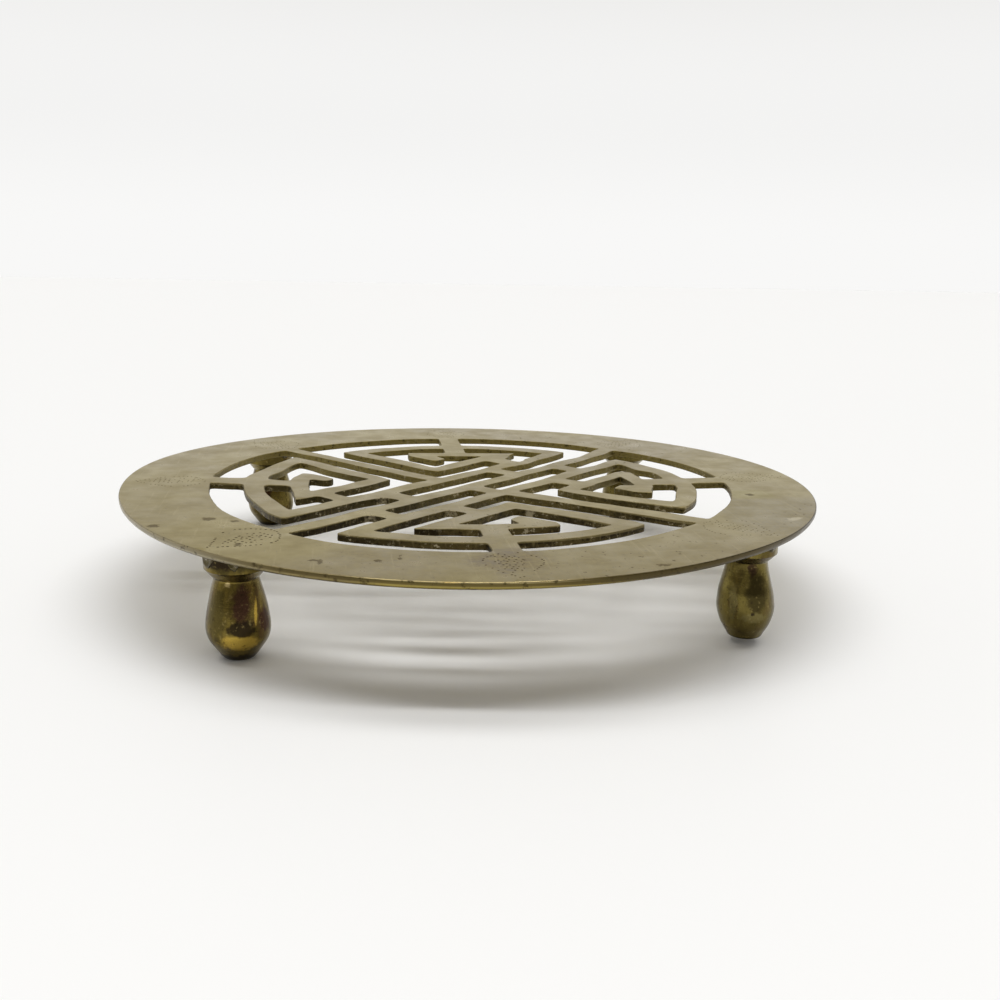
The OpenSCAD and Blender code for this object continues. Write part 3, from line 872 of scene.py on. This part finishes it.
# Floor, light and camera: a plain pale floor, two long soft lamps overhead and behind, and a pale
# room that is dimmer in front. The camera stands where the trivet is seen as in the photograph.
floor_half = 1.5
mesh = bpy.data.meshes.new("floor")
mesh.from_pydata([(-floor_half, -floor_half, 0), (floor_half, -floor_half, 0),
                  (floor_half, floor_half, 0), (-floor_half, floor_half, 0)], [], [(0, 1, 2, 3)])
floor = bpy.data.objects.new("floor", mesh)
bpy.context.scene.collection.objects.link(floor)
paper = bpy.data.materials.new("pale_floor")
paper.use_nodes = True
paper_shader = paper.node_tree.nodes["Principled BSDF"]
paper_shader.inputs["Base Color"].default_value = (0.9, 0.905, 0.91, 1)
paper_shader.inputs["Roughness"].default_value = 0.5
mesh.materials.append(paper)

# How far the view is turned from the front of the trivet, tilted down, and rolled, in radians
view_turn, tilt, roll = math.radians(8.2), 0.23549, 0.02224
facing = Matrix.Rotation(-view_turn, 4, "Z")
# Distance and length of the lamps, in metres
lamp_away, lamp_length = 8.0, 12.5
# Each lamp: angle behind straight up, width in metres, and power in watts
for name, angle, width, power in (("lamp_overhead", 1, 0.84, 365), ("lamp_behind", 21, 2.0, 250)):
    light = bpy.data.lights.new(name, "AREA")
    light.shape, light.size, light.size_y, light.energy = "RECTANGLE", lamp_length, width, power
    lamp = bpy.data.objects.new(name, light)
    lamp.matrix_world = (facing @ Matrix.Rotation(-math.radians(angle), 4, "X")
                         @ Matrix.Translation((0, 0, lamp_away)))
    bpy.context.scene.collection.objects.link(lamp)

room = bpy.data.worlds.new("pale_room")
bpy.context.scene.world = room
room.use_nodes = True
walls = Shading(room.node_tree)
generated = walls.add("ShaderNodeTexCoord", {}).outputs["Generated"]
backward, upward = walls.part(generated, 1), walls.part(generated, 2)
wall_level = walls.band(backward, -0.9, 0.5, 0.3, 0.9)
wall_colour = walls.tint(walls.band(backward, -0.9, 0.3), (1.0, 0.94, 0.84), (1.0, 0.997, 0.988))
# Behind, the room dims towards its ceiling. Close to the floor it is a touch brighter
room_level = walls.times(walls.band(upward, 0.12, 0.55, wall_level, 0.38),
                         walls.band(upward, 0.0, 0.1, 1.045, 1.0))
room_colour = walls.tint(walls.band(upward, 0.12, 0.55), wall_colour, (1.0, 0.965, 0.9))
background = room.node_tree.nodes["Background"]
walls.feed(background.inputs["Strength"], room_level)
walls.feed(background.inputs["Color"], room_colour)

# The camera: its axes, its place, and a lens of 39.6 mm on a frame 36 mm wide
scene = bpy.context.scene
scene.view_settings.view_transform = "Standard"
right, up = Vector((1, 0, 0)), Vector((0, math.sin(tilt), math.cos(tilt)))
back = Vector((0, -math.cos(tilt), math.sin(tilt)))
rolled_right = right * math.cos(roll) + up * math.sin(roll)
rolled_up = up * math.cos(roll) - right * math.sin(roll)
stand = Matrix((rolled_right, rolled_up, back)).transposed().to_4x4()
stand.translation = Vector((6.53, -237.68, 73.94)) * MM
eye = bpy.data.cameras.new("camera")
eye.sensor_width, eye.lens = 36.0, 39.6
eye.clip_start, eye.clip_end = 0.01, 20.0
camera = bpy.data.objects.new("camera", eye)
camera.matrix_world = facing @ stand
scene.collection.objects.link(camera)
scene.camera = camera
